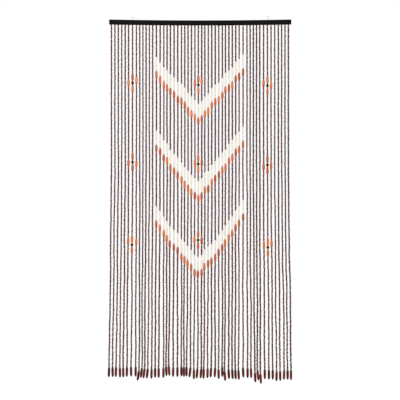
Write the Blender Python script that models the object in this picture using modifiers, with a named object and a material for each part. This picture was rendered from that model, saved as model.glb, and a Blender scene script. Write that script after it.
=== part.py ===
"""A bead curtain hanging from a wooden slat, as separate solids.

Metres, +Z up. The origin is the middle of the slat's back face. The front faces -Y, with +X
to the right, and the strands hang down -Z. A drop is a distance below the origin.
"""

from collections import namedtuple
import math

import bmesh
import bpy
from mathutils import Vector
import numpy as np

MM = 0.001
GAP = 0.0003
WELD_DISTANCE = 0.00001
SHARP_ANGLE = math.radians(40)

# Linear colours of the materials
BLACK_PAINT = (0.004, 0.003, 0.003)
BRIGHT_STEEL = (0.62, 0.62, 0.61)
BROWN_WOOD = (0.1, 0.016, 0.017)

# The slat, bowed by the strands' weight
SLAT_LENGTH = 1.0
SLAT_HEIGHT = 0.026
SLAT_THICKNESS = 0.018
SLAT_EDGE = 0.0016
SLAT_EDGE_STEPS = 2
SLAT_EDGE_ANGLE = math.radians(60)
SLAT_SAG = 0.005
SLAT_STEPS = 20
SLAT_MIDDLE_Y = -SLAT_THICKNESS / 2

# The groove in the slat's underside, and the strip of strand roots that lies in it
GROOVE_WIDTH = 0.006
GROOVE_DEPTH = 0.0048
GROOVE_END_MARGIN = 0.0055
STRIP_RECESS = 0.0005

# The two steel screw eyes
EYE_X = 0.373
EYE_HEIGHT = 0.021
EYE_RING_RADIUS = 0.0054
EYE_WIRE_RADIUS = 0.0013
EYE_SHANK_DEPTH = 0.012
EYE_RING_STEPS = 20
EYE_WIRE_STEPS = 8
EYE_SHANK_STEPS = 12

# The strands
STRAND_COUNT = 52
STRAND_PITCH = 0.01904
FIRST_STRAND_X = -0.4876
THREAD_RADIUS = 0.0012
SMALL_BEAD_RADIUS = 0.0044
STATION_STEP = 0.21
STATION_CLEARANCE = 0.05
ROOT_INSET = 0.002
ROOT_NECK = 0.0025

# How a strand strays from a plumb line
FLARE_START = 0.8
FLARE_POWER = 1.15
HEM_DROP = 1.889
SWAY = 0.0012
DEEP_SWAY = 0.0011
SWAY_PERIOD = 0.66
STAGGER = 0.0022

# The larger beads. A belly is the stretch where a bead is at its widest.
BeadSize = namedtuple("BeadSize", "length radius belly_start belly_end tip_radius")
BEAD_SIZES = {
    "orange": BeadSize(0.045, 0.0070, 0.22, 0.78, SMALL_BEAD_RADIUS),
    "dark": BeadSize(0.014, 0.0073, 0.24, 0.76, SMALL_BEAD_RADIUS),
    "end": BeadSize(0.056, 0.0066, 0.18, 0.70, 0.0030),
}
PETAL_REACH = 0.0324

# Where a strand's length and pattern stray from the plan
UNEVEN_CHEVRON = 0.008
UNEVEN_HEM = 0.002
UNEVEN_LEAN = 1.5
HEM_SLANT = 0.0148

CHEVRON_FIRST = 13
CHEVRON_APEX = 25
CHEVRON_LAST = 38
Chevron = namedtuple("Chevron", "apex_drop left_rise right_rise sag")
CHEVRONS = (
    Chevron(apex_drop=0.544, left_rise=0.0210, right_rise=0.0207, sag=0.000),
    Chevron(apex_drop=0.970, left_rise=0.0234, right_rise=0.0236, sag=0.007),
    Chevron(apex_drop=1.388, left_rise=0.0240, right_rise=0.0240, sag=0.016),
)

# The flowers, with how much lower than the middle each side petal hangs
Flower = namedtuple("Flower", "strand drop left_mm right_mm")
FLOWERS = (
    Flower(6, 0.330, left_mm=1, right_mm=-14),
    Flower(6, 0.765, left_mm=4, right_mm=10),
    Flower(6, 1.219, left_mm=-19, right_mm=-14),
    Flower(25, 0.341, left_mm=-9, right_mm=-17),
    Flower(25, 0.775, left_mm=0, right_mm=-5),
    Flower(25, 1.193, left_mm=0, right_mm=4),
    Flower(45, 0.345, left_mm=-13, right_mm=-1),
    Flower(45, 0.780, left_mm=11, right_mm=4),
    Flower(45, 1.233, left_mm=-11, right_mm=-18),
)

# Sideways shifts of some strands in millimetres. Those between them shift in proportion.
Crowding = namedtuple("Crowding", "strand at_slat at_hem")
CROWDINGS = (
    Crowding(0, 0, -13),
    Crowding(5, -1, -11),
    Crowding(7, 4, -1),
    Crowding(8, 3, 0),
    Crowding(10, 0, -9),
    Crowding(12, -2, -8),
    Crowding(14, 1, -8),
    Crowding(15, 2, 0),
    Crowding(17, 0, -8),
    Crowding(20, 4, 4),
    Crowding(21, 3, -3),
    Crowding(22, 2, -5),
    Crowding(26, 1, -2),
    Crowding(27, -1, -6),
    Crowding(30, -1, -2),
    Crowding(32, 0, 0),
    Crowding(33, -2, -6),
    Crowding(34, -2, -3),
    Crowding(37, -3, -6),
    Crowding(39, 2, 5),
    Crowding(41, -1, 6),
    Crowding(43, -4, 0),
    Crowding(45, 0, 9),
    Crowding(48, 3, 13),
    Crowding(49, 2, 17),
    Crowding(51, 1, 16),
)

# How end beads lean off plumb, and how much lower than the hem's slant they hang
Leaning = namedtuple("Leaning", "first last degrees lower_mm")
LEANINGS = (
    Leaning(5, 7, degrees=0, lower_mm=-4),
    Leaning(8, 8, degrees=-7, lower_mm=16),
    Leaning(9, 9, degrees=-6, lower_mm=1),
    Leaning(10, 11, degrees=-6, lower_mm=6),
    Leaning(12, 12, degrees=0, lower_mm=8),
    Leaning(16, 17, degrees=4, lower_mm=-12),
    Leaning(18, 22, degrees=0, lower_mm=-8),
    Leaning(23, 23, degrees=-5, lower_mm=-6),
    Leaning(24, 24, degrees=1, lower_mm=7),
    Leaning(25, 26, degrees=-4, lower_mm=-1),
    Leaning(29, 30, degrees=-3, lower_mm=-5),
    Leaning(32, 32, degrees=2, lower_mm=-8),
    Leaning(33, 33, degrees=5, lower_mm=12),
    Leaning(34, 37, degrees=3, lower_mm=2),
    Leaning(38, 40, degrees=1, lower_mm=-6),
    Leaning(41, 41, degrees=4, lower_mm=15),
    Leaning(42, 42, degrees=5, lower_mm=8),
    Leaning(43, 43, degrees=4, lower_mm=23),
    Leaning(47, 48, degrees=0, lower_mm=7),
)

Bead = namedtuple("Bead", "kind middle")


def uneven_draws():
    """Named rows of one number in -1..1 for each strand."""
    names = ("sway_x", "sway_y", "hem", "lean", "row_0", "row_1", "row_2")
    draw = np.random.default_rng(52)
    return {name: draw.uniform(-1, 1, STRAND_COUNT) for name in names}


UNEVEN = uneven_draws()


def slat_lift(x):
    """How far the bowed slat's middle line lies above its lowest point."""
    return SLAT_SAG * (2 * x / SLAT_LENGTH) ** 2


def underside(x):
    return slat_lift(x) - SLAT_HEIGHT / 2


def crowded(strand, column):
    strands = [row.strand for row in CROWDINGS]
    shifts = [getattr(row, column) for row in CROWDINGS]
    return MM * float(np.interp(strand, strands, shifts))


def leaning_of(strand):
    for row in LEANINGS:
        if row.first <= strand <= row.last:
            return row
    return Leaning(strand, strand, 0, 0)


def hem_drop(strand):
    """The drop at which a strand's end bead starts."""
    slant = HEM_SLANT * strand / STRAND_COUNT
    return HEM_DROP + slant + UNEVEN_HEM * UNEVEN["hem"][strand] + MM * leaning_of(strand).lower_mm


def end_direction(strand):
    """The unit vector down an end bead."""
    lean = math.radians(leaning_of(strand).degrees + UNEVEN_LEAN * UNEVEN["lean"][strand])
    return Vector((math.sin(lean), 0, -math.cos(lean)))


def strand_point(strand, drop):
    """The point on a strand's middle line at this drop."""
    flare = max(0.0, (drop - FLARE_START) / (HEM_DROP - FLARE_START)) ** FLARE_POWER
    hung = min(1.0, drop / HEM_DROP)
    turn = 2 * math.pi * drop / SWAY_PERIOD
    at_slat = crowded(strand, "at_slat")
    x = FIRST_STRAND_X + strand * STRAND_PITCH + at_slat
    x += flare * (crowded(strand, "at_hem") - at_slat)
    x += SWAY * hung * math.sin(turn + math.pi * UNEVEN["sway_x"][strand])
    y = SLAT_MIDDLE_Y + STAGGER * hung * (-1) ** strand
    y += DEEP_SWAY * hung * (1 - hung) * math.sin(turn + math.pi * UNEVEN["sway_y"][strand])
    return Vector((x, y, -drop))


def chevron_beads(strand):
    """The long bead that each chevron puts on a strand."""
    if not CHEVRON_FIRST <= strand <= CHEVRON_LAST:
        return []
    beads = []
    for row, chevron in enumerate(CHEVRONS):
        steps = abs(strand - CHEVRON_APEX)
        rise = chevron.left_rise if strand < CHEVRON_APEX else chevron.right_rise
        along = steps / (CHEVRON_LAST - CHEVRON_APEX)
        line = chevron.apex_drop - steps * rise + 4 * chevron.sag * along * (1 - along)
        beads.append(Bead("orange", line + UNEVEN_CHEVRON * UNEVEN[f"row_{row}"][strand]))
    return beads


def flower_beads(strand):
    """Petals above, below and beside each flower's dark round bead."""
    beads = []
    for flower in FLOWERS:
        if strand == flower.strand - 1:
            beads.append(Bead("orange", flower.drop + MM * flower.left_mm))
        elif strand == flower.strand:
            beads.append(Bead("orange", flower.drop - PETAL_REACH))
            beads.append(Bead("dark", flower.drop))
            beads.append(Bead("orange", flower.drop + PETAL_REACH))
        elif strand == flower.strand + 1:
            beads.append(Bead("orange", flower.drop + MM * flower.right_mm))
    return beads


def larger_beads(strand):
    """The beads that a strand swells at, above its end bead, from the top down."""
    return sorted(chevron_beads(strand) + flower_beads(strand), key=lambda bead: bead.middle)


def new_collection(name):
    collection = bpy.data.collections.new(name)
    bpy.context.scene.collection.children.link(collection)
    return collection


def new_material(name, colour, roughness, metallic=0.0):
    material = bpy.data.materials.new(name)
    material.use_nodes = True
    shader = material.node_tree.nodes["Principled BSDF"]
    shader.inputs["Base Color"].default_value = (*colour, 1)
    shader.inputs["Roughness"].default_value = roughness
    shader.inputs["Metallic"].default_value = metallic
    material.diffuse_color = (*colour, 1)
    return material


def new_object(name, mesh, collection, material=None):
    made = bpy.data.objects.new(name, mesh)
    collection.objects.link(made)
    if material:
        mesh.materials.append(material)
    return made


def as_cutter(helper):
    helper.hide_render = True
    helper.display_type = "WIRE"
    return helper


def add_boolean(target, helper, operation):
    modifier = target.modifiers.new(helper.name, "BOOLEAN")
    modifier.operation = operation
    modifier.object = helper
    modifier.solver = "EXACT"


def bowed_bar(name, x_range, y_size, z_range, collection, material=None):
    """A bar about the slat's middle plane that follows the slat's bow."""
    start, end = x_range
    low, high = z_range
    shape = bmesh.new()
    bmesh.ops.create_cube(shape, size=1)
    long_edges = [edge for edge in shape.edges if edge.verts[0].co.x * edge.verts[1].co.x < 0]
    bmesh.ops.subdivide_edges(shape, edges=long_edges, cuts=SLAT_STEPS - 1)
    for vertex in shape.verts:
        x = (start + end) / 2 + vertex.co.x * (end - start)
        z = (low + high) / 2 + vertex.co.z * (high - low) + slat_lift(x)
        vertex.co = (x, SLAT_MIDDLE_Y + vertex.co.y * y_size, z)
    mesh = bpy.data.meshes.new(name)
    shape.to_mesh(mesh)
    shape.free()
    return new_object(name, mesh, collection, material)


def upright_cylinder(name, x, radius, z_range, collection):
    low, high = z_range
    shape = bmesh.new()
    bmesh.ops.create_cone(
        shape, cap_ends=True, segments=EYE_SHANK_STEPS, radius1=radius, radius2=radius, depth=high - low
    )
    mesh = bpy.data.meshes.new(name)
    shape.to_mesh(mesh)
    shape.free()
    made = new_object(name, mesh, collection)
    made.location = (x, SLAT_MIDDLE_Y, (low + high) / 2)
    return made


def groove_range(margin):
    """The lowest and highest X of the strand roots, with a margin at each end."""
    return (
        FIRST_STRAND_X - margin,
        FIRST_STRAND_X + (STRAND_COUNT - 1) * STRAND_PITCH + margin,
    )


def build_slat(parts, cutters, material):
    """The black bar, with its groove and the two holes for the screw eyes."""
    half = SLAT_HEIGHT / 2
    slat = bowed_bar(
        "slat", (-SLAT_LENGTH / 2, SLAT_LENGTH / 2), SLAT_THICKNESS, (-half, half), parts, material
    )
    rounding = slat.modifiers.new("eased_edges", "BEVEL")
    rounding.width = SLAT_EDGE
    rounding.segments = SLAT_EDGE_STEPS
    rounding.limit_method = "ANGLE"
    rounding.angle_limit = SLAT_EDGE_ANGLE
    groove = bowed_bar(
        "groove_cutter",
        groove_range(GROOVE_END_MARGIN + GAP),
        GROOVE_WIDTH,
        (-half - GROOVE_DEPTH, -half + GROOVE_DEPTH),
        cutters,
    )
    add_boolean(slat, as_cutter(groove), "DIFFERENCE")
    for side, x in (("left", -EYE_X), ("right", EYE_X)):
        top = slat_lift(x) + half
        floor = top - EYE_SHANK_DEPTH - GAP
        hole = upright_cylinder(
            f"{side}_hole_cutter", x, EYE_WIRE_RADIUS + GAP, (floor, top + EYE_SHANK_DEPTH), cutters
        )
        add_boolean(slat, as_cutter(hole), "DIFFERENCE")
    return slat


def build_screw_eye(name, x, parts, cutters, material):
    """A wire ring that faces the front, on a shank that goes down into the slat."""
    top = slat_lift(x) + SLAT_HEIGHT / 2
    ring_z = top + EYE_HEIGHT - EYE_RING_RADIUS - EYE_WIRE_RADIUS
    bpy.ops.mesh.primitive_torus_add(
        location=(x, SLAT_MIDDLE_Y, ring_z),
        rotation=(math.pi / 2, 0, 0),
        major_segments=EYE_RING_STEPS,
        minor_segments=EYE_WIRE_STEPS,
        major_radius=EYE_RING_RADIUS,
        minor_radius=EYE_WIRE_RADIUS,
    )
    ring = bpy.context.object
    ring.name = name
    ring.data.name = name
    ring.data.materials.append(material)
    for owner in list(ring.users_collection):
        owner.objects.unlink(ring)
    parts.objects.link(ring)
    shank_range = (top - EYE_SHANK_DEPTH, ring_z - EYE_RING_RADIUS)
    shank = upright_cylinder(f"{name}_shank", x, EYE_WIRE_RADIUS, shank_range, cutters)
    add_boolean(ring, as_cutter(shank), "UNION")
    return ring


def outline_of(kind):
    """(distance from the upper end, radius) where a larger bead's outline turns."""
    size = BEAD_SIZES[kind]
    return (
        (0.0, SMALL_BEAD_RADIUS),
        (size.belly_start * size.length, size.radius),
        (size.belly_end * size.length, size.radius),
        (size.length, size.tip_radius),
    )


def swelling(strand, bead):
    """(point, radius) down a bead that a strand runs through."""
    top = bead.middle - BEAD_SIZES[bead.kind].length / 2
    return [(strand_point(strand, top + along), radius) for along, radius in outline_of(bead.kind)]


def root_rings(strand):
    """(point, radius) where the thread leaves the strip and reaches the first bead."""
    root = strand_point(strand, 0.0)
    rings = []
    steps = ((-ROOT_INSET, THREAD_RADIUS), (0.0, THREAD_RADIUS), (ROOT_NECK, SMALL_BEAD_RADIUS))
    for below, radius in steps:
        rings.append((Vector((root.x, root.y, underside(root.x) - below)), radius))
    return rings


def end_rings(strand):
    """(point, radius) down the end bead."""
    start = strand_point(strand, hem_drop(strand))
    down = end_direction(strand)
    return [(start + down * along, radius) for along, radius in outline_of("end")]


def strand_rings(strand):
    """(point, radius) from a strand's root to its tip."""
    beads = larger_beads(strand)
    hung = []
    for bead in beads:
        hung.extend(swelling(strand, bead))
    drop = STATION_STEP
    while drop < hem_drop(strand) - STATION_STEP / 2:
        if all(abs(drop - bead.middle) > STATION_CLEARANCE for bead in beads):
            hung.append((strand_point(strand, drop), SMALL_BEAD_RADIUS))
        drop += STATION_STEP
    hung.sort(key=lambda ring: -ring[0].z)
    return root_rings(strand) + hung + end_rings(strand)


def strand_tubes(cutters):
    """All the strands as one mesh of separate four-sided tubes."""
    curve = bpy.data.curves.new("strand_lines", "CURVE")
    curve.dimensions = "3D"
    curve.bevel_depth = MM
    curve.bevel_resolution = 0
    curve.use_fill_caps = True
    for strand in range(STRAND_COUNT):
        rings = strand_rings(strand)
        spline = curve.splines.new("POLY")
        spline.points.add(len(rings) - 1)
        for knot, (point, radius) in zip(spline.points, rings):
            knot.co = (*point, 1)
            knot.radius = radius / MM
    lines = new_object("strand_lines", curve, cutters)
    bpy.context.view_layer.update()
    graph = bpy.context.evaluated_depsgraph_get()
    mesh = bpy.data.meshes.new_from_object(lines.evaluated_get(graph))
    bpy.data.objects.remove(lines)
    shape = bmesh.new()
    shape.from_mesh(mesh)
    bmesh.ops.remove_doubles(shape, verts=shape.verts, dist=WELD_DISTANCE)
    bmesh.ops.recalc_face_normals(shape, faces=shape.faces)
    shape.to_mesh(mesh)
    shape.free()
    mesh.name = "strand_tubes"
    return new_object("strand_tubes", mesh, cutters)


def build_strands(parts, cutters, material):
    """The strip in the groove, with every strand's root fused into it."""
    low = -SLAT_HEIGHT / 2 + STRIP_RECESS
    high = -SLAT_HEIGHT / 2 + GROOVE_DEPTH - GAP
    strip = bowed_bar(
        "strands",
        groove_range(GROOVE_END_MARGIN),
        GROOVE_WIDTH - 2 * GAP,
        (low, high),
        parts,
        material,
    )
    add_boolean(strip, as_cutter(strand_tubes(cutters)), "UNION")
    return strip


def shade(made):
    made.data.shade_smooth()
    made.data.set_sharp_from_angle(angle=SHARP_ANGLE)


def build():
    for old in list(bpy.data.objects):
        bpy.data.objects.remove(old)
    parts = new_collection("bead_curtain")
    cutters = new_collection("cutters")
    black_paint = new_material("black_paint", BLACK_PAINT, roughness=0.45)
    steel = new_material("steel", BRIGHT_STEEL, roughness=0.28, metallic=1.0)
    brown_wood = new_material("brown_wood", BROWN_WOOD, roughness=0.42)
    shade(build_slat(parts, cutters, black_paint))
    shade(build_screw_eye("screw_eye_left", -EYE_X, parts, cutters, steel))
    shade(build_screw_eye("screw_eye_right", EYE_X, parts, cutters, steel))
    build_strands(parts, cutters, brown_wood)


build()
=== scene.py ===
"""The looks of a bead curtain that hangs from a black slat by two screw eyes.

Metres, +Z up, in the row frame: the origin is the middle of the slat's back face, the front
faces -Y and the strands hang down -Z. A drop is a distance below the origin.
"""

from collections import namedtuple
import math

import bmesh
import bpy
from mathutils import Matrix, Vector
import numpy as np


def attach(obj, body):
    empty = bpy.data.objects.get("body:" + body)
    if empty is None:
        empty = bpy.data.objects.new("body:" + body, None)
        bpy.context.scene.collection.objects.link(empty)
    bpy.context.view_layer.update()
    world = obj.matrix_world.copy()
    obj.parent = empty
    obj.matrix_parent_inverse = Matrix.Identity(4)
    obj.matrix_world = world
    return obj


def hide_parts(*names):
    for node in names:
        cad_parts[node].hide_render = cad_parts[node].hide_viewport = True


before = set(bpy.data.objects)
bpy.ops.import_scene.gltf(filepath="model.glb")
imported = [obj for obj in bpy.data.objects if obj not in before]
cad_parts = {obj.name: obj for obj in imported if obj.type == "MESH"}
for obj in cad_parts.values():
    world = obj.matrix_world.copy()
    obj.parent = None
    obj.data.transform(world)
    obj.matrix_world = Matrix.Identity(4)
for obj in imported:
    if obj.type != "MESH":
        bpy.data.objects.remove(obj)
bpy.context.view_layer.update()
BODY = "root"
MM = 0.001

# The slat, bowed by the strands' weight
SLAT_LENGTH = 1.0
SLAT_HEIGHT = 0.026
SLAT_THICKNESS = 0.018
SLAT_EDGE = 0.0018
SLAT_EDGE_STEPS = 5
SLAT_SAG = 0.005
SLAT_STEPS = 64
SLAT_MIDDLE_Y = -SLAT_THICKNESS / 2
GROOVE_WIDTH = 0.006
GROOVE_DEPTH = 0.0048
GROOVE_END_MARGIN = 0.0055
STRIP_RECESS = 0.0005
STRIP_EDGE = 0.0008
STRIP_EDGE_STEPS = 3
BEVEL_ANGLE = math.radians(60)
SHARP_ANGLE = math.radians(60)
GAP = 0.0003

# The two steel screw eyes. The tip radii are shares of the wire's radius at the ring's open end.
EYE_X = 0.373
EYE_HEIGHT = 0.021
EYE_RING_RADIUS = 0.0054
EYE_WIRE_RADIUS = 0.0013
EYE_SHANK_DEPTH = 0.012
EYE_SHANK_STEPS = 60
EYE_HOLE_SIDES = 32
EYE_WIRE_SIDES = 20
EYE_RING_STEPS = 72
EYE_RING_START = math.radians(-62)
EYE_RING_TURN = math.radians(322)
EYE_NECK_BEND = 0.0016
EYE_NECK_SHARES = (0.25, 0.5, 0.75)
EYE_TIP_RADII = (0.97, 0.88, 0.62)
EYE_THREAD_PITCH = 0.0009
EYE_THREAD_DEPTH = 0.00022
EYE_THREAD_TOP = 0.0032

# The strands. From the flare's start down they shift towards their places at the hem, and they
# stand a little in front of and behind the slat's middle plane by turns.
STRAND_COUNT = 52
STRAND_PITCH = 0.01904
FIRST_STRAND_X = -0.4876
STRAND_GROUPS = 8
FLARE_START = 0.8
FLARE_POWER = 1.15
HEM_DROP = 1.889
SWAY = 0.0012
DEEP_SWAY = 0.0011
SWAY_PERIOD = 0.66
STAGGER = 0.0022
HEM_SLANT = 0.0148
UNEVEN_CHEVRON = 0.008
UNEVEN_HEM = 0.002
UNEVEN_LEAN = 1.5

# The thread and its knots
THREAD_RADIUS = 0.0008
THREAD_SIDES = 8
THREAD_RINGS = 6
THREAD_SHOWN = 0.0016
THREAD_HIDDEN = 0.001
KNOT_RADIUS = 0.0016
KNOT_SINK = 0.0007
KNOT_SIDES = 10
KNOT_RINGS = 6

# The small beads
SMALL_BEAD_PITCH = 0.0069
SMALL_BEAD_RADIUS = 0.0046
SMALL_BEAD_SIDES = 8
HEM_SWELLING = 0.06
UNEVEN_RADIUS = 0.15
WIDEST_SWELLING = 0.24
UNEVEN_PITCH = 0.10
UNEVEN_STRAND = 0.08
CREAM_BEADS = 11

# Where a small bead's outline turns, as shares of its length and radius. The depth is 0 at a hole,
# where painted shade darkens the crease between two beads, and 1 on the belly.
Turn = namedtuple("Turn", "share radius depth")
SMALL_BEAD_OUTLINE = (
    Turn(share=0.0, radius=0.5, depth=0.0),
    Turn(share=0.16, radius=0.89, depth=0.8),
    Turn(share=0.5, radius=1.0, depth=1.0),
    Turn(share=0.84, radius=0.89, depth=0.8),
)

# How small beads stray from their strand: each by itself, along the thread's curls, and by leaning
WOBBLE = 0.0004
CURL_AT_SLAT = 0.00012
CURL_AT_HEM = 0.0007
CURL_BEADS = 9
LEAN_REACH = 0.00054

# Tones from 0, dark, to 1, light, and how far strands and beads stray from the middle one
MIDDLE_TONE = 0.5
STRAND_TONES = 0.36
BEAD_TONES = 0.45

# The larger beads. Fullness is how square the outline is, the waist is where it is widest, and the
# painted shade at the upper hole fades over the last share.
LargeBead = namedtuple("LargeBead", "length radius tip_radius fullness waist stained")
LARGE_BEADS = {
    "orange": LargeBead(0.045, 0.0070, tip_radius=0.0034, fullness=3.0, waist=0.5, stained=0.24),
    "dark": LargeBead(0.016, 0.0078, tip_radius=0.0034, fullness=2.4, waist=0.5, stained=0.2),
    "end": LargeBead(0.056, 0.0068, tip_radius=0.0034, fullness=5.0, waist=0.45, stained=0.2),
}
LARGE_BEAD_SIDES = 18
LARGE_BEAD_STEPS = 12
# How far up a bead the painted shade at its lower hole fades
LOWER_SHADED_END = 0.2
PETAL_REACH = 0.0324

# The chevrons: the strands they cross, how much a line rises with each strand, and its arms' sag
CHEVRON_FIRST = 13
CHEVRON_APEX = 25
CHEVRON_LAST = 38
Chevron = namedtuple("Chevron", "apex_drop left_rise right_rise sag")
CHEVRONS = (
    Chevron(apex_drop=0.544, left_rise=0.0210, right_rise=0.0207, sag=0.000),
    Chevron(apex_drop=0.970, left_rise=0.0234, right_rise=0.0236, sag=0.007),
    Chevron(apex_drop=1.388, left_rise=0.0240, right_rise=0.0240, sag=0.016),
)

# The flowers, with how much lower than the middle each side petal hangs
Flower = namedtuple("Flower", "strand drop left_mm right_mm")
FLOWERS = (
    Flower(6, 0.330, left_mm=1, right_mm=-14),
    Flower(6, 0.765, left_mm=4, right_mm=10),
    Flower(6, 1.219, left_mm=-19, right_mm=-14),
    Flower(25, 0.341, left_mm=-9, right_mm=-17),
    Flower(25, 0.775, left_mm=0, right_mm=-5),
    Flower(25, 1.193, left_mm=0, right_mm=4),
    Flower(45, 0.345, left_mm=-13, right_mm=-1),
    Flower(45, 0.780, left_mm=11, right_mm=4),
    Flower(45, 1.233, left_mm=-11, right_mm=-18),
)

# Sideways shifts of some strands in millimetres. Those between them shift in proportion.
Crowding = namedtuple("Crowding", "strand at_slat at_hem")
CROWDINGS = (
    Crowding(0, 0, -13),
    Crowding(5, -1, -11),
    Crowding(7, 4, -1),
    Crowding(8, 3, 0),
    Crowding(10, 0, -9),
    Crowding(12, -2, -8),
    Crowding(14, 1, -8),
    Crowding(15, 2, 0),
    Crowding(17, 0, -8),
    Crowding(20, 4, 4),
    Crowding(21, 3, -3),
    Crowding(22, 2, -5),
    Crowding(26, 1, -2),
    Crowding(27, -1, -6),
    Crowding(30, -1, -2),
    Crowding(32, 0, 0),
    Crowding(33, -2, -6),
    Crowding(34, -2, -3),
    Crowding(37, -3, -6),
    Crowding(39, 2, 5),
    Crowding(41, -1, 6),
    Crowding(43, -4, 0),
    Crowding(45, 0, 9),
    Crowding(48, 3, 13),
    Crowding(49, 2, 17),
    Crowding(51, 1, 16),
)

# How end beads lean off plumb, and how much lower than the hem's slant they hang
Leaning = namedtuple("Leaning", "first last degrees lower_mm")
LEANINGS = (
    Leaning(5, 7, degrees=0, lower_mm=-4),
    Leaning(8, 8, degrees=-7, lower_mm=16),
    Leaning(9, 9, degrees=-6, lower_mm=1),
    Leaning(10, 11, degrees=-6, lower_mm=6),
    Leaning(12, 12, degrees=0, lower_mm=8),
    Leaning(16, 17, degrees=4, lower_mm=-12),
    Leaning(18, 22, degrees=0, lower_mm=-8),
    Leaning(23, 23, degrees=-5, lower_mm=-6),
    Leaning(24, 24, degrees=1, lower_mm=7),
    Leaning(25, 26, degrees=-4, lower_mm=-1),
    Leaning(29, 30, degrees=-3, lower_mm=-5),
    Leaning(32, 32, degrees=2, lower_mm=-8),
    Leaning(33, 33, degrees=5, lower_mm=12),
    Leaning(34, 37, degrees=3, lower_mm=2),
    Leaning(38, 40, degrees=1, lower_mm=-6),
    Leaning(41, 41, degrees=4, lower_mm=15),
    Leaning(42, 42, degrees=5, lower_mm=8),
    Leaning(43, 43, degrees=4, lower_mm=23),
    Leaning(47, 48, degrees=0, lower_mm=7),
)

# Bake map cells: the share of a cell that a bead's side takes, and the size of its two caps
BAKE_MAP = "OFBake"
CELL_MARGIN = 0.04
CELL_SIDE = (0.12, 0.88)
CELL_CAP_RADIUS = 0.03

# The photographer's view, whose width is taken at the slat
CAMERA_LENS = 85
CAMERA_SENSOR = 36
VIEW_CENTRE = Vector((-0.0011, 0.0, -0.9728))
VIEW_WIDTH = 2.198
FLOOR_Z = -2.06
FLOOR_SIZE = 14

# The white room and its soft lamps
BACKDROP_STRENGTH = 1.0
ROOM_STRENGTH = 0.08
LAMP_SIZE = (4.2, 2.8)
Lamp = namedtuple("Lamp", "name place power")
LAMPS = (
    Lamp("key_light", place=(-3.2, -8.0, 2.0), power=630),
    Lamp("fill_light", place=(3.6, -7.6, 1.6), power=440),
    Lamp("back_light", place=(0.0, 8.4, 0.6), power=440),
)

# How finely the patterns of the materials repeat along X, Y and Z
BEAD_GRAIN = (1500.0, 1500.0, 260.0)
LONG_BEAD_GRAIN = (1300.0, 1300.0, 95.0)
SLAT_GRAIN = (6.0, 320.0, 320.0)
PAINT_SPECKLE = (900.0, 900.0, 900.0)
STEEL_MARKS = (2600.0, 2600.0, 700.0)
THREAD_TURNS = 420.0

# How deep the relief of those patterns is, and how much of each the paint's relief takes
WOOD_RELIEF = 0.00006
CREAM_RELIEF = 0.00003
PAINT_RELIEF = 0.00012
STEEL_RELIEF = 0.00002
THREAD_RELIEF = 0.00015
GRAIN_IN_PAINT = 0.8
SPECKLE_IN_PAINT = 0.25

# The grain of turned wood. The shift is how far apart the darkest and lightest beads' grain starts.
GRAIN_SHIFT_X = 37.0
GRAIN_SHIFT_Z = 91.0
GRAIN_GLOSS = 0.08
STREAK_FROM = 0.36
STREAK_TO = 0.68
STREAK_ON_DARK = 0.35
STREAK_ON_LIGHT = 0.8
CLOUD_SCALE = 0.27
CLOUD_SHARE = 0.35
COAT_ROUGHNESS = 0.16

# The sockets of a colour mix node
MIX_SHARE = 0
MIX_FIRST = 6
MIX_SECOND = 7
MIX_RESULT = 2

# Seeds: the strands' unevenness is the same as in the solids, the beads' is only here
STRAND_SEED = 52
BEAD_SEED = 14

Bead = namedtuple("Bead", "kind middle")
Run = namedtuple("Run", "kind start end")


def uneven_draws():
    """Named rows of one number in -1..1 for each strand."""
    names = ("sway_x", "sway_y", "hem", "lean", "row_0", "row_1", "row_2")
    draw = np.random.default_rng(STRAND_SEED)
    return {name: draw.uniform(-1, 1, STRAND_COUNT) for name in names}


UNEVEN = uneven_draws()
DRAW = np.random.default_rng(BEAD_SEED)


def slat_lift(x):
    """How far the bowed slat's middle line lies above its lowest point."""
    return SLAT_SAG * (2 * x / SLAT_LENGTH) ** 2


def underside(x):
    return slat_lift(x) - SLAT_HEIGHT / 2


def crowded(strand, column):
    strands = [row.strand for row in CROWDINGS]
    shifts = [getattr(row, column) for row in CROWDINGS]
    return MM * float(np.interp(strand, strands, shifts))


def leaning_of(strand):
    for row in LEANINGS:
        if row.first <= strand <= row.last:
            return row
    return Leaning(strand, strand, 0, 0)


def hem_drop(strand):
    """The drop at which a strand's end bead starts."""
    slant = HEM_SLANT * strand / STRAND_COUNT
    return HEM_DROP + slant + UNEVEN_HEM * UNEVEN["hem"][strand] + MM * leaning_of(strand).lower_mm


def end_direction(strand):
    """The unit vector down an end bead."""
    lean = math.radians(leaning_of(strand).degrees + UNEVEN_LEAN * UNEVEN["lean"][strand])
    return Vector((math.sin(lean), 0, -math.cos(lean)))


def strand_line(strand, drops):
    """The points on a strand's middle line at these drops, one a row."""
    drops = np.asarray(drops, float)
    flare = np.clip((drops - FLARE_START) / (HEM_DROP - FLARE_START), 0, None) ** FLARE_POWER
    hung = np.minimum(1, drops / HEM_DROP)
    turn = 2 * math.pi * drops / SWAY_PERIOD
    at_slat = crowded(strand, "at_slat")
    x = FIRST_STRAND_X + strand * STRAND_PITCH + at_slat
    x = x + flare * (crowded(strand, "at_hem") - at_slat)
    x = x + SWAY * hung * np.sin(turn + math.pi * UNEVEN["sway_x"][strand])
    y = SLAT_MIDDLE_Y + STAGGER * hung * (-1) ** strand
    y = y + DEEP_SWAY * hung * (1 - hung) * np.sin(turn + math.pi * UNEVEN["sway_y"][strand])
    return np.stack([x, y, -drops], axis=-1)


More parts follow.
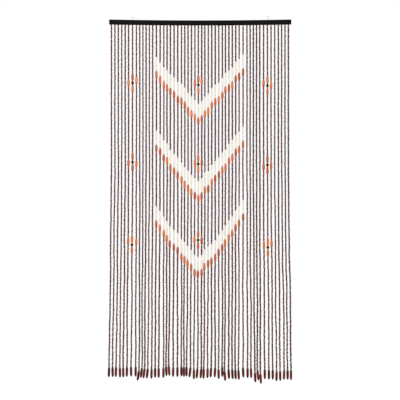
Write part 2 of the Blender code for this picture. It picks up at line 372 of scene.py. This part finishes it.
def chevron_beads(strand):
    """The long bead that each chevron puts on a strand."""
    if not CHEVRON_FIRST <= strand <= CHEVRON_LAST:
        return []
    beads = []
    for row, chevron in enumerate(CHEVRONS):
        steps = abs(strand - CHEVRON_APEX)
        rise = chevron.left_rise if strand < CHEVRON_APEX else chevron.right_rise
        along = steps / (CHEVRON_LAST - CHEVRON_APEX)
        line = chevron.apex_drop - steps * rise + 4 * chevron.sag * along * (1 - along)
        beads.append(Bead("orange", line + UNEVEN_CHEVRON * UNEVEN[f"row_{row}"][strand]))
    return beads


def flower_beads(strand):
    """Petals above, below and beside each flower's dark round bead."""
    beads = []
    for flower in FLOWERS:
        if strand == flower.strand - 1:
            beads.append(Bead("orange", flower.drop + MM * flower.left_mm))
        elif strand == flower.strand:
            beads.append(Bead("orange", flower.drop - PETAL_REACH))
            beads.append(Bead("dark", flower.drop))
            beads.append(Bead("orange", flower.drop + PETAL_REACH))
        elif strand == flower.strand + 1:
            beads.append(Bead("orange", flower.drop + MM * flower.right_mm))
    return beads


def first_bead_drop(strand):
    root_x = strand_line(strand, 0.0)[0]
    return THREAD_SHOWN - underside(root_x)


def runs_of(strand):
    """A strand's runs of small beads between its larger ones, from the top down."""
    cream_length = CREAM_BEADS * SMALL_BEAD_PITCH
    stops = []
    for bead in chevron_beads(strand) + flower_beads(strand):
        half = LARGE_BEADS[bead.kind].length / 2
        stops.append((bead.middle - half, bead.middle + half, bead in chevron_beads(strand)))
    stops.sort()
    stops.append((hem_drop(strand), None, False))
    runs = []
    start = first_bead_drop(strand)
    for upper, lower, has_cream in stops:
        end = upper - cream_length if has_cream else upper
        runs.append(Run("brown", start, end))
        if has_cream:
            runs.append(Run("cream", end, upper))
        start = lower
    return runs


class Batch:
    """Closed round tubes gathered into one mesh, with a tone and a bake cell for each bead."""

    def __init__(self):
        self.points = []
        self.faces = []
        self.tones = []
        self.depths = []
        self.places = []
        self.vertex_count = 0
        self.bead_count = 0

    def add(self, rings, bead_of_band, band_range, tones, depths):
        """Adds a tube through rings, an array of ring, side and coordinate.

        Each band between two rings belongs to a bead, and band_range says where it lies along it.
        """
        count, sides, _ = rings.shape
        tones = np.asarray(tones)
        self.add_side(count, sides)
        self.add_side_places(bead_of_band, band_range, sides)
        self.tones.extend(np.repeat(tones[bead_of_band], sides).tolist())
        upper_corners = self.vertex_count + np.arange(sides)
        lower_corners = upper_corners[::-1] + (count - 1) * sides
        last_bead = self.bead_count + len(tones) - 1
        self.add_cap(upper_corners, self.bead_count, tones[0], upper_end=True)
        self.add_cap(lower_corners, last_bead, tones[-1], upper_end=False)
        self.points.append(rings.reshape(-1, 3))
        self.depths.append(np.repeat(depths, sides))
        self.vertex_count += count * sides
        self.bead_count += len(tones)

    def add_side(self, count, sides):
        """The faces between each ring of a tube and the next."""
        ring, side = np.meshgrid(np.arange(count - 1), np.arange(sides), indexing="ij")
        following = (side + 1) % sides
        upper = self.vertex_count + ring * sides
        lower = upper + sides
        corners = [upper + side, lower + side, lower + following, upper + following]
        self.faces.extend(map(tuple, np.stack(corners, -1).reshape(-1, 4).tolist()))

    def add_side_places(self, bead_of_band, band_range, sides):
        """Where the corners of those faces lie: their cell, and shares across and along it."""
        band, side = np.meshgrid(np.arange(len(bead_of_band)), np.arange(sides), indexing="ij")
        cell = self.bead_count + bead_of_band[band]
        upper = band_range[band, 0]
        lower = band_range[band, 1]
        corners = []
        for across, along in ((side, upper), (side, lower), (side + 1, lower), (side + 1, upper)):
            corners.append(np.stack([cell, across / sides, along], -1))
        self.places.append(np.stack(corners, -2).reshape(-1, 3))

    def add_cap(self, corners, cell, tone, upper_end):
        """The face that closes one end of a tube, as a small disc in its bead's cell."""
        self.faces.append(tuple(corners.tolist()))
        self.tones.append(float(tone))
        turn = 2 * math.pi * np.arange(len(corners)) / len(corners)
        along = -CELL_CAP_RADIUS * 2 if upper_end else 1 + CELL_CAP_RADIUS * 2
        place = [
            np.full(len(corners), cell),
            0.5 + CELL_CAP_RADIUS * np.cos(turn),
            along + CELL_CAP_RADIUS * np.sin(turn),
        ]
        self.places.append(np.stack(place, -1))

    def mesh(self, name):
        """The mesh, with each bead's side laid out in its own square cell of the bake map."""
        made = bpy.data.meshes.new(name)
        made.from_pydata(np.concatenate(self.points).tolist(), [], self.faces)
        cell, across, along = np.concatenate(self.places).T
        cells_wide = math.ceil(math.sqrt(self.bead_count))
        low, high = CELL_SIDE
        u = (cell % cells_wide + CELL_MARGIN + (1 - 2 * CELL_MARGIN) * across) / cells_wide
        v = (cell // cells_wide + low + (high - low) * along) / cells_wide
        layer = made.uv_layers.new(name=BAKE_MAP)
        layer.data.foreach_set("uv", np.stack([u, v], -1).ravel())
        tone = made.attributes.new("tone", "FLOAT", "FACE")
        tone.data.foreach_set("value", self.tones)
        depth = made.attributes.new("depth", "FLOAT", "POINT")
        depth.data.foreach_set("value", np.concatenate(self.depths))
        made.shade_smooth()
        made.set_sharp_from_angle(angle=SHARP_ANGLE)
        return made


def circles(centres, radii, sides, across=(1, 0, 0), deep=(0, 1, 0)):
    """Rings round these centres, as an array of ring, side and coordinate."""
    turn = 2 * math.pi * np.arange(sides) / sides
    around = np.outer(np.cos(turn), across) + np.outer(np.sin(turn), deep)
    return np.asarray(centres)[:, None, :] + np.asarray(radii)[:, None, None] * around[None]


def bands_between(shares):
    """Where each band between two rings starts and ends, from the rings' shares along a bead."""
    return np.stack([shares[:-1], shares[1:]], -1)


def wobbles(drops):
    """How far each small bead of a run sits off the strand's middle line, in X and in Y."""
    count = len(drops)
    rough = np.diff(DRAW.normal(0, 1, (count + 1, 2)), axis=0)
    loose = DRAW.normal(0, 1, (count + CURL_BEADS - 1, 2))
    curl = sum(loose[start : start + count] for start in range(CURL_BEADS)) / math.sqrt(CURL_BEADS)
    from_end = np.minimum(np.arange(count), np.arange(count)[::-1])
    free = np.minimum(1, (from_end + 1) / CURL_BEADS)
    reach = np.interp(drops, (0, HEM_DROP), (CURL_AT_SLAT, CURL_AT_HEM)) * free
    return WOBBLE * rough + reach[:, None] * curl


def chain_rings(strand, ends, radius, off, lean):
    """The rings of a chain of small beads that meet at shared narrow rings, in front of the wall."""
    shares, parts, _ = np.transpose(SMALL_BEAD_OUTLINE)
    drops = ends[:-1, None] + np.diff(ends)[:, None] * shares
    radii = radius[:, None] * parts
    shifts = off[:, None, :] + lean[:, None, :] * (0.5 - shares)[None, :, None]
    shifts[1:, 0] = (off[:-1] + off[1:]) / 2
    shifts[0, 0] = 0
    radii[1:, 0] = (radii[1:, 0] + radii[:-1, 0]) / 2
    drops = np.append(drops.ravel(), ends[-1])
    radii = np.append(radii.ravel(), radii[-1, 0])
    shifts = np.concatenate([shifts.reshape(-1, 2), np.zeros((1, 2))])
    centres = strand_line(strand, drops)
    centres[:, :2] += shifts
    centres[:, 1] = np.minimum(centres[:, 1], -radii - GAP)
    return circles(centres, radii, SMALL_BEAD_SIDES)


def add_small_beads(batch, strand, run, strand_radius, strand_tone):
    """A run of small beads, uneven in length, width, tone and place, as one chain."""
    count = max(1, round((run.end - run.start) / SMALL_BEAD_PITCH))
    ends = np.linspace(run.start, run.end, count + 1)
    ends[1:-1] += UNEVEN_PITCH * SMALL_BEAD_PITCH * DRAW.uniform(-1, 1, count - 1)
    swelling = UNEVEN_RADIUS * np.diff(DRAW.uniform(-1, 1, count + 1))
    radius = strand_radius * (1 + np.clip(swelling, -WIDEST_SWELLING, WIDEST_SWELLING))
    radius *= 1 + HEM_SWELLING * ends[:-1] / HEM_DROP
    tones = np.clip(strand_tone + BEAD_TONES * DRAW.uniform(-1, 1, count), 0, 1)
    off = wobbles((ends[:-1] + ends[1:]) / 2)
    lean = LEAN_REACH * DRAW.normal(0, 1, (count, 2))
    rings = chain_rings(strand, ends, radius, off, lean)
    shares, _, depths = np.transpose(SMALL_BEAD_OUTLINE)
    bead_of_band = np.repeat(np.arange(count), len(shares))
    band_range = np.tile(bands_between(np.append(shares, 1.0)), (count, 1))
    batch.add(rings, bead_of_band, band_range, tones, np.append(np.tile(depths, count), 0.0))


def add_plain_tube(batch, rings):
    """A tube without beads, such as a wire or a thread."""
    count = len(rings)
    bands = bands_between(np.linspace(0, 1, count))
    batch.add(rings, np.zeros(count - 1, int), bands, [MIDDLE_TONE], np.ones(count))


def large_bead_outline(size):
    """Shares along a larger bead, close together near its ends, and the radius at each."""
    step = np.arange(LARGE_BEAD_STEPS + 1) / LARGE_BEAD_STEPS
    share = (1 - np.cos(math.pi * step)) / 2
    upper = np.clip((size.waist - share) / size.waist, 0, 1)
    lower = np.clip((share - size.waist) / (1 - size.waist), 0, 1)
    off_waist = upper + lower
    round_radius = size.radius * np.sqrt(1 - off_waist**size.fullness)
    return share, np.maximum(round_radius, size.tip_radius)


def add_large_bead(batch, start, down, size, tone):
    """A turned bead from its upper end at start, along the unit vector down, in front of the wall."""
    share, radii = large_bead_outline(size)
    start = np.array(start)
    start[1] = min(start[1], -size.radius - GAP)
    down = np.array(down)
    deep = np.array((0.0, 1.0, 0.0))
    across = np.cross(down, deep)
    across *= -np.sign(down[2]) / np.linalg.norm(across)
    centres = start + share[:, None] * size.length * down
    rings = circles(centres, radii, LARGE_BEAD_SIDES, across, deep)
    # Painted shade: darker towards both holes
    depths = np.clip(np.minimum(share / size.stained, (1 - share) / LOWER_SHADED_END), 0, 1)
    batch.add(rings, np.zeros(LARGE_BEAD_STEPS, int), bands_between(share), [tone], depths)


def finish_piece(name, mesh, material, slot, *replaced):
    """Links a mesh as a piece of the curtain, in its material."""
    piece = bpy.data.objects.new(name, mesh)
    bpy.context.scene.collection.objects.link(piece)
    mesh.materials.clear()
    mesh.materials.append(material)
    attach(piece, BODY)
    if replaced:
        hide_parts(*replaced)
    return piece


class Nodes:
    """A short way to write a material's nodes."""

    def __init__(self, name):
        self.material = bpy.data.materials.new(name)
        self.material.use_nodes = True
        self.tree = self.material.node_tree
        self.shader = self.tree.nodes["Principled BSDF"]

    def add(self, kind, inputs=None, **settings):
        node = self.tree.nodes.new(kind)
        for key, value in settings.items():
            setattr(node, key, value)
        for key, value in (inputs or {}).items():
            self.put(node, key, value)
        return node

    def put(self, node, key, value):
        if isinstance(value, bpy.types.NodeSocket):
            self.tree.links.new(value, node.inputs[key])
        else:
            node.inputs[key].default_value = value

    def math(self, operation, *values):
        node = self.add("ShaderNodeMath", operation=operation)
        for place, value in enumerate(values):
            self.put(node, place, value)
        return node.outputs[0]

    def fit(self, value, low, high):
        """A value in 0..1 moved to low..high."""
        return self.add("ShaderNodeMapRange", {"Value": value, "To Min": low, "To Max": high}).outputs[0]

    def mix(self, share, first, second):
        inputs = {MIX_SHARE: share, MIX_FIRST: first, MIX_SECOND: second}
        return self.add("ShaderNodeMix", inputs, data_type="RGBA").outputs[MIX_RESULT]

    def noise(self, vector, scale, detail=3.0, roughness=0.55):
        inputs = {"Vector": vector, "Scale": scale, "Detail": detail, "Roughness": roughness}
        return self.add("ShaderNodeTexNoise", inputs).outputs[0]

    def attribute(self, name):
        return self.add("ShaderNodeAttribute", attribute_name=name).outputs["Fac"]

    def place(self, scale):
        """Object coordinates, stretched."""
        where = self.add("ShaderNodeTexCoord").outputs["Object"]
        return self.add("ShaderNodeMapping", {"Vector": where, "Scale": scale}).outputs[0]

    def surface(self, inputs):
        """Sets or links the surface shader's inputs."""
        for key, value in inputs.items():
            self.put(self.shader, key, value)

    def bump(self, height, distance):
        relief = self.add("ShaderNodeBump", {"Height": height, "Distance": distance})
        self.put(self.shader, "Normal", relief.outputs[0])


def rgb(red, green, blue):
    """A linear colour."""
    return (red, green, blue, 1.0)


def grain_and_clouds(nodes, tone, scale):
    """The fine and the broad pattern of wood, from another place for each bead's tone."""
    shift_x = nodes.math("MULTIPLY", tone, GRAIN_SHIFT_X)
    shift_z = nodes.math("MULTIPLY", tone, GRAIN_SHIFT_Z)
    shift = nodes.add("ShaderNodeCombineXYZ", {"X": shift_x, "Z": shift_z}).outputs[0]
    shifted = nodes.add("ShaderNodeVectorMath", {0: nodes.place(scale), 1: shift}, operation="ADD")
    where = shifted.outputs[0]
    grain = nodes.noise(where, 1.0, detail=4.0, roughness=0.62)
    return grain, nodes.noise(where, CLOUD_SCALE, detail=1.0)


def streaked(nodes, tone, grain, dull, light):
    """A colour with light streaks of grain, stronger on light beads."""
    ends = {"Value": grain, "From Min": STREAK_FROM, "From Max": STREAK_TO}
    streaks = nodes.add("ShaderNodeMapRange", ends).outputs[0]
    strength = nodes.fit(tone, STREAK_ON_DARK, STREAK_ON_LIGHT)
    return nodes.mix(nodes.math("MULTIPLY", streaks, strength), dull, light)


def wood(
    name, dark, middle, light, stain, grain_scale, roughness, coat, specular, relief=WOOD_RELIEF
):
    """Turned wood with grain along the bead, its own tone for each bead and painted shade at its holes.
    """
    nodes = Nodes(name)
    tone = nodes.attribute("tone")
    grain, clouds = grain_and_clouds(nodes, tone, grain_scale)
    lit = streaked(nodes, tone, grain, nodes.mix(tone, dark, middle), light)
    cloudy = nodes.mix(nodes.math("MULTIPLY", clouds, CLOUD_SHARE), lit, dark)
    # Painted shade: darker towards the holes, where beads meet
    stained = nodes.mix(nodes.attribute("depth"), stain, cloudy)
    gloss = nodes.fit(grain, roughness + GRAIN_GLOSS, roughness - GRAIN_GLOSS)
    nodes.surface({"Base Color": stained, "Roughness": gloss, "Specular IOR Level": specular})
    nodes.surface({"Coat Weight": coat, "Coat Roughness": COAT_ROUGHNESS})
    nodes.bump(grain, relief)
    return nodes.material


def black_paint():
    """Satin black paint on wood, whose long grain still shows a little."""
    nodes = Nodes("satin_black_paint")
    grain = nodes.noise(nodes.place(SLAT_GRAIN), 1.0, detail=5.0, roughness=0.6)
    speckle = nodes.noise(nodes.place(PAINT_SPECKLE), 1.0, detail=2.0)
    colour = nodes.mix(grain, rgb(0.0018, 0.0014, 0.0015), rgb(0.0050, 0.0043, 0.0045))
    roughness = nodes.fit(speckle, 0.42, 0.58)
    nodes.surface({"Base Color": colour, "Roughness": roughness, "Specular IOR Level": 0.035})
    raised_grain = nodes.math("MULTIPLY", grain, GRAIN_IN_PAINT)
    raised_speckle = nodes.math("MULTIPLY", speckle, SPECKLE_IN_PAINT)
    nodes.bump(nodes.math("ADD", raised_grain, raised_speckle), PAINT_RELIEF)
    return nodes.material


def plated_steel():
    """Bright plated wire with fine lengthwise marks."""
    nodes = Nodes("plated_steel")
    marks = nodes.noise(nodes.place(STEEL_MARKS), 1.0)
    colour = nodes.mix(marks, rgb(0.50, 0.50, 0.49), rgb(0.70, 0.70, 0.69))
    nodes.surface({"Base Color": colour, "Roughness": nodes.fit(marks, 0.2, 0.36), "Metallic": 1.0})
    nodes.bump(marks, STEEL_RELIEF)
    return nodes.material


def waxed_thread():
    """Dark twisted thread."""
    nodes = Nodes("waxed_thread")
    where = nodes.place((1.0, 1.0, 1.0))
    inputs = {"Vector": where, "Scale": THREAD_TURNS, "Distortion": 1.5, "Detail": 2.0}
    turns = nodes.add("ShaderNodeTexWave", inputs, bands_direction="DIAGONAL").outputs["Fac"]
    colour = nodes.mix(turns, rgb(0.02, 0.014, 0.012), rgb(0.075, 0.052, 0.042))
    roughness = nodes.fit(turns, 0.72, 0.55)
    nodes.surface({"Base Color": colour, "Roughness": roughness, "Specular IOR Level": 0.3})
    nodes.bump(turns, THREAD_RELIEF)
    return nodes.material


BLACK_PAINT = black_paint()
STEEL = plated_steel()
THREAD = waxed_thread()
BROWN_WOOD = wood(
    "stained_brown_wood",
    dark=rgb(0.025, 0.005, 0.005),
    middle=rgb(0.150, 0.013, 0.011),
    light=rgb(0.235, 0.036, 0.026),
    # The painted shade at the holes
    stain=rgb(0.014, 0.003, 0.003),
    grain_scale=BEAD_GRAIN,
    roughness=0.42,
    coat=0.04,
    specular=0.2,
)
CREAM_PAINT = wood(
    "cream_painted_wood",
    dark=rgb(0.87, 0.81, 0.68),
    middle=rgb(0.94, 0.89, 0.76),
    light=rgb(0.95, 0.92, 0.82),
    # The painted shade at the holes
    stain=rgb(0.60, 0.53, 0.42),
    grain_scale=BEAD_GRAIN,
    roughness=0.45,
    coat=0.1,
    specular=0.4,
    relief=CREAM_RELIEF,
)
ORANGE_WOOD = wood(
    "stained_orange_wood",
    dark=rgb(0.29, 0.026, 0.006),
    middle=rgb(0.76, 0.155, 0.012),
    light=rgb(0.92, 0.320, 0.048),
    # The painted shade at the holes
    stain=rgb(0.22, 0.026, 0.007),
    grain_scale=LONG_BEAD_GRAIN,
    roughness=0.36,
    coat=0.08,
    specular=0.25,
)
MAHOGANY_WOOD = wood(
    "stained_mahogany_wood",
    dark=rgb(0.022, 0.0018, 0.003),
    middle=rgb(0.160, 0.011, 0.008),
    light=rgb(0.270, 0.042, 0.014),
    # The painted shade at the holes
    stain=rgb(0.012, 0.002, 0.002),
    grain_scale=LONG_BEAD_GRAIN,
    roughness=0.36,
    coat=0.05,
    specular=0.18,
)
EBONY_WOOD = wood(
    "stained_black_wood",
    dark=rgb(0.012, 0.002, 0.001),
    middle=rgb(0.020, 0.004, 0.002),
    light=rgb(0.040, 0.010, 0.006),
    # The painted shade at the holes
    stain=rgb(0.006, 0.002, 0.001),
    grain_scale=LONG_BEAD_GRAIN,
    roughness=0.40,
    coat=0.02,
    specular=0.06,
)


def bowed_bar(name, x_range, y_size, z_range):
    """A bar about the slat's middle plane that follows the slat's bow."""
    start, end = x_range
    low, high = z_range
    shape = bmesh.new()
    bmesh.ops.create_cube(shape, size=1)
    long_edges = [edge for edge in shape.edges if edge.verts[0].co.x * edge.verts[1].co.x < 0]
    bmesh.ops.subdivide_edges(shape, edges=long_edges, cuts=SLAT_STEPS - 1)
    for vertex in shape.verts:
        x = (start + end) / 2 + vertex.co.x * (end - start)
        z = (low + high) / 2 + vertex.co.z * (high - low) + slat_lift(x)
        vertex.co = (x, SLAT_MIDDLE_Y + vertex.co.y * y_size, z)
    mesh = bpy.data.meshes.new(name)
    shape.to_mesh(mesh)
    shape.free()
    return mesh


def round_off(piece, width, steps):
    rounding = piece.modifiers.new("rounded_edges", "BEVEL")
    rounding.width = width
    rounding.segments = steps
    rounding.limit_method = "ANGLE"
    rounding.angle_limit = BEVEL_ANGLE


def cut(piece, cutter_mesh):
    """Takes a cutter's shape out of a piece."""
    cutter = bpy.data.objects.new(f"{cutter_mesh.name}_helper", cutter_mesh)
    bpy.context.scene.collection.objects.link(cutter)
    modifier = piece.modifiers.new(cutter_mesh.name, "BOOLEAN")
    modifier.operation = "DIFFERENCE"
    modifier.object = cutter
    modifier.solver = "EXACT"
    return cutter


def settle(piece, helpers=()):
    """Applies a piece's modifiers and removes what they used."""
    bpy.context.view_layer.update()
    graph = bpy.context.evaluated_depsgraph_get()
    mesh = bpy.data.meshes.new_from_object(piece.evaluated_get(graph))
    piece.modifiers.clear()
    piece.data = mesh
    mesh.shade_smooth()
    mesh.set_sharp_from_angle(angle=SHARP_ANGLE)
    for helper in helpers:
        bpy.data.objects.remove(helper)


def groove_range(margin):
    """The lowest and highest X of the strand roots, with a margin at each end."""
    return (
        FIRST_STRAND_X - margin,
        FIRST_STRAND_X + (STRAND_COUNT - 1) * STRAND_PITCH + margin,
    )


def eye_hole(name, x):
    """The cutter of a screw eye's hole."""
    top = slat_lift(x) + SLAT_HEIGHT / 2
    shape = bmesh.new()
    bmesh.ops.create_cone(
        shape,
        cap_ends=True,
        segments=EYE_HOLE_SIDES,
        radius1=EYE_WIRE_RADIUS + GAP,
        radius2=EYE_WIRE_RADIUS + GAP,
        depth=2 * (EYE_SHANK_DEPTH + GAP),
    )
    bmesh.ops.translate(shape, verts=shape.verts, vec=(x, SLAT_MIDDLE_Y, top))
    mesh = bpy.data.meshes.new(name)
    shape.to_mesh(mesh)
    shape.free()
    return mesh


def make_slat():
    """The black bar, with its groove and the two holes for the screw eyes."""
    half = SLAT_HEIGHT / 2
    ends = (-SLAT_LENGTH / 2, SLAT_LENGTH / 2)
    bar = bowed_bar("slat_bar", ends, SLAT_THICKNESS, (-half, half))
    slat = finish_piece("painted_slat", bar, BLACK_PAINT, "black_paint", "slat")
    round_off(slat, SLAT_EDGE, SLAT_EDGE_STEPS)
    groove = bowed_bar(
        "groove",
        groove_range(GROOVE_END_MARGIN + GAP),
        GROOVE_WIDTH,
        (-half - GROOVE_DEPTH, -half + GROOVE_DEPTH),
    )
    helpers = [cut(slat, groove)]
    for side, x in (("left", -EYE_X), ("right", EYE_X)):
        helpers.append(cut(slat, eye_hole(f"{side}_hole", x)))
    settle(slat, helpers)


def eye_path(x):
    """Points (x, z) up the shank, round the neck and along the open ring of a screw eye."""
    top = slat_lift(x) + SLAT_HEIGHT / 2
    middle = Vector((x, top + EYE_HEIGHT - EYE_RING_RADIUS - EYE_WIRE_RADIUS))
    corner = middle - Vector((0, EYE_RING_RADIUS))
    neck = corner - Vector((0, EYE_NECK_BEND))
    shank = [(x, z) for z in np.linspace(top - EYE_SHANK_DEPTH, neck.y, EYE_SHANK_STEPS)]
    ring = []
    for turn in EYE_RING_START + EYE_RING_TURN * np.linspace(0, 1, EYE_RING_STEPS):
        ring.append(tuple(middle + EYE_RING_RADIUS * Vector((math.cos(turn), math.sin(turn)))))
    bend = []
    for share in EYE_NECK_SHARES:
        first = neck.lerp(corner, share)
        second = corner.lerp(Vector(ring[0]), share)
        bend.append(tuple(first.lerp(second, share)))
    return np.array(shank + bend + ring), top


def wire_radii(path, top, turn):
    """The wire's radius at each point of its path and each side, less in the shank's thread."""
    travelled = np.append(0, np.cumsum(np.linalg.norm(np.diff(path, axis=0), axis=1)))
    threaded = path[:, 1] < top + EYE_THREAD_TOP
    phase = 2 * math.pi * travelled[:, None] / EYE_THREAD_PITCH - turn[None]
    radii = EYE_WIRE_RADIUS - threaded[:, None] * EYE_THREAD_DEPTH * (1 + np.cos(phase)) / 2
    radii[-len(EYE_TIP_RADII) :] *= np.array(EYE_TIP_RADII)[:, None]
    return radii


def make_screw_eye(name, x, node):
    """A bent wire ring that faces the front, on a shank threaded into the slat."""
    path, top = eye_path(x)
    ahead = np.gradient(path, axis=0)
    ahead /= np.linalg.norm(ahead, axis=1)[:, None]
    turn = 2 * math.pi * np.arange(EYE_WIRE_SIDES) / EYE_WIRE_SIDES
    centres = np.stack([path[:, 0], np.full(len(path), SLAT_MIDDLE_Y), path[:, 1]], -1)
    sideways = np.stack([ahead[:, 1], np.zeros(len(path)), -ahead[:, 0]], -1)
    around = np.cos(turn)[None, :, None] * sideways[:, None, :]
    around = around + np.sin(turn)[None, :, None] * np.array((0.0, 1.0, 0.0))
    rings = centres[:, None, :] + wire_radii(path, top, turn)[:, :, None] * around
    batch = Batch()
    add_plain_tube(batch, rings[::-1])
    finish_piece(name, batch.mesh(name), STEEL, "steel", node)


def make_root_strip():
    """The strip that the strands' roots are held by, in the slat's groove."""
    half = SLAT_HEIGHT / 2
    bar = bowed_bar(
        "root_strip_bar",
        groove_range(GROOVE_END_MARGIN),
        GROOVE_WIDTH - 2 * GAP,
        (-half + STRIP_RECESS, -half + GROOVE_DEPTH - GAP),
    )
    strip = finish_piece("root_strip", bar, THREAD, "thread", "strands")
    round_off(strip, STRIP_EDGE, STRIP_EDGE_STEPS)
    settle(strip)


def make_threads():
    """The short stretch of thread between the strip and each strand's first bead."""
    batch = Batch()
    for strand in range(STRAND_COUNT):
        root = strand_line(strand, 0.0)
        low = -first_bead_drop(strand) - THREAD_HIDDEN
        high = underside(root[0]) + STRIP_RECESS + THREAD_HIDDEN
        centres = np.tile(root, (THREAD_RINGS, 1))
        centres[:, 2] = np.linspace(high, low, THREAD_RINGS)
        add_plain_tube(batch, circles(centres, np.full(THREAD_RINGS, THREAD_RADIUS), THREAD_SIDES))
    finish_piece("root_threads", batch.mesh("root_threads"), THREAD, "thread", "strands")


def make_small_beads():
    """The brown and cream beads, as chains joined into one mesh for each group of strands."""
    cream = Batch()
    for group, strands in enumerate(np.array_split(np.arange(STRAND_COUNT), STRAND_GROUPS)):
        brown = Batch()
        for strand in strands.tolist():
            strand_tone = MIDDLE_TONE + STRAND_TONES * DRAW.uniform(-1, 1)
            strand_radius = SMALL_BEAD_RADIUS * (1 + UNEVEN_STRAND * DRAW.uniform(-1, 1))
            for run in runs_of(strand):
                if run.kind == "cream":
                    add_small_beads(cream, strand, run, strand_radius, MIDDLE_TONE)
                else:
                    add_small_beads(brown, strand, run, strand_radius, strand_tone)
        name = f"brown_beads_{group + 1}"
        finish_piece(name, brown.mesh(name), BROWN_WOOD, "brown_beads", "strands")
    finish_piece("cream_beads", cream.mesh("cream_beads"), CREAM_PAINT, "cream_beads", "strands")


def make_pattern_beads():
    """The long orange beads of the chevrons and flowers, and the flowers' dark round beads."""
    batches = {"orange": Batch(), "dark": Batch()}
    for strand in range(STRAND_COUNT):
        for bead in chevron_beads(strand) + flower_beads(strand):
            size = LARGE_BEADS[bead.kind]
            ends = (bead.middle - size.length / 2, bead.middle + size.length / 2)
            top, bottom = strand_line(strand, ends)
            down = (bottom - top) / np.linalg.norm(bottom - top)
            add_large_bead(batches[bead.kind], top, down, size, DRAW.uniform(0, 1))
    orange = batches["orange"].mesh("orange_beads")
    finish_piece("orange_beads", orange, ORANGE_WOOD, "orange_beads", "strands")
    dark = batches["dark"].mesh("dark_round_beads")
    finish_piece("dark_round_beads", dark, EBONY_WOOD, "black_beads", "strands")


def make_end_beads():
    """The leaning end beads, and the knot in each one's lower hole."""
    size = LARGE_BEADS["end"]
    beads = Batch()
    knots = bmesh.new()
    for strand in range(STRAND_COUNT):
        start = Vector(strand_line(strand, hem_drop(strand)))
        down = end_direction(strand)
        add_large_bead(beads, start, down, size, DRAW.uniform(0, 1))
        tip = start + down * (size.length - KNOT_SINK)
        made = bmesh.ops.create_uvsphere(
            knots, u_segments=KNOT_SIDES, v_segments=KNOT_RINGS, radius=KNOT_RADIUS
        )
        bmesh.ops.translate(knots, verts=made["verts"], vec=tip)
    finish_piece("end_beads", beads.mesh("end_beads"), MAHOGANY_WOOD, "mahogany_beads", "strands")
    mesh = bpy.data.meshes.new("end_knots")
    knots.to_mesh(mesh)
    knots.free()
    mesh.shade_smooth()
    finish_piece("end_knots", mesh, THREAD, "thread", "strands")


def make_camera():
    camera = bpy.data.cameras.new("camera")
    camera.lens = CAMERA_LENS
    camera.sensor_width = CAMERA_SENSOR
    distance = VIEW_WIDTH * CAMERA_LENS / CAMERA_SENSOR
    placed = bpy.data.objects.new("camera", camera)
    bpy.context.scene.collection.objects.link(placed)
    placed.location = VIEW_CENTRE + Vector((0, SLAT_MIDDLE_Y - distance, 0))
    placed.rotation_euler = (math.pi / 2, 0, 0)
    bpy.context.scene.camera = placed


def make_lamps():
    """Large soft lamps that face the curtain's middle, two in front and one behind."""
    for lamp in LAMPS:
        light = bpy.data.lights.new(lamp.name, "AREA")
        light.shape = "RECTANGLE"
        light.size, light.size_y = LAMP_SIZE
        light.energy = lamp.power
        placed = bpy.data.objects.new(lamp.name, light)
        bpy.context.scene.collection.objects.link(placed)
        placed.location = lamp.place
        away = Vector(lamp.place) - VIEW_CENTRE
        placed.rotation_euler = away.to_track_quat("Z", "Y").to_euler()
        placed.visible_camera = False


def make_room():
    """An even white backdrop, which lights the curtain only faintly."""
    bpy.context.scene.view_settings.view_transform = "Standard"
    world = bpy.data.worlds.new("studio")
    bpy.context.scene.world = world
    world.use_nodes = True
    tree = world.node_tree
    backdrop = tree.nodes["Background"]
    room = tree.nodes.new("ShaderNodeBackground")
    for background, strength in ((backdrop, BACKDROP_STRENGTH), (room, ROOM_STRENGTH)):
        background.inputs["Color"].default_value = rgb(1, 1, 1)
        background.inputs["Strength"].default_value = strength
    rays = tree.nodes.new("ShaderNodeLightPath")
    chosen = tree.nodes.new("ShaderNodeMixShader")
    tree.links.new(rays.outputs["Is Camera Ray"], chosen.inputs[0])
    tree.links.new(room.outputs[0], chosen.inputs[1])
    tree.links.new(backdrop.outputs[0], chosen.inputs[2])
    tree.links.new(chosen.outputs[0], tree.nodes["World Output"].inputs["Surface"])


def make_floor():
    """A plain floor, as pale as the backdrop."""
    shape = bmesh.new()
    bmesh.ops.create_grid(shape, x_segments=1, y_segments=1, size=FLOOR_SIZE / 2)
    mesh = bpy.data.meshes.new("floor")
    shape.to_mesh(mesh)
    shape.free()
    floor = bpy.data.objects.new("floor", mesh)
    bpy.context.scene.collection.objects.link(floor)
    floor.location.z = FLOOR_Z
    floor.visible_diffuse = False
    floor.visible_glossy = False
    nodes = Nodes("pale_floor")
    nodes.surface({"Base Color": rgb(0.02, 0.02, 0.02), "Roughness": 1.0, "Specular IOR Level": 0.0})
    nodes.surface({"Emission Color": rgb(1, 1, 1), "Emission Strength": 1.0})
    mesh.materials.append(nodes.material)


make_camera()
make_slat()
make_screw_eye("wire_eye_left", -EYE_X, "screw_eye_left")
make_screw_eye("wire_eye_right", EYE_X, "screw_eye_right")
make_root_strip()
make_threads()
make_small_beads()
make_pattern_beads()
make_end_beads()
make_room()
make_lamps()
make_floor()
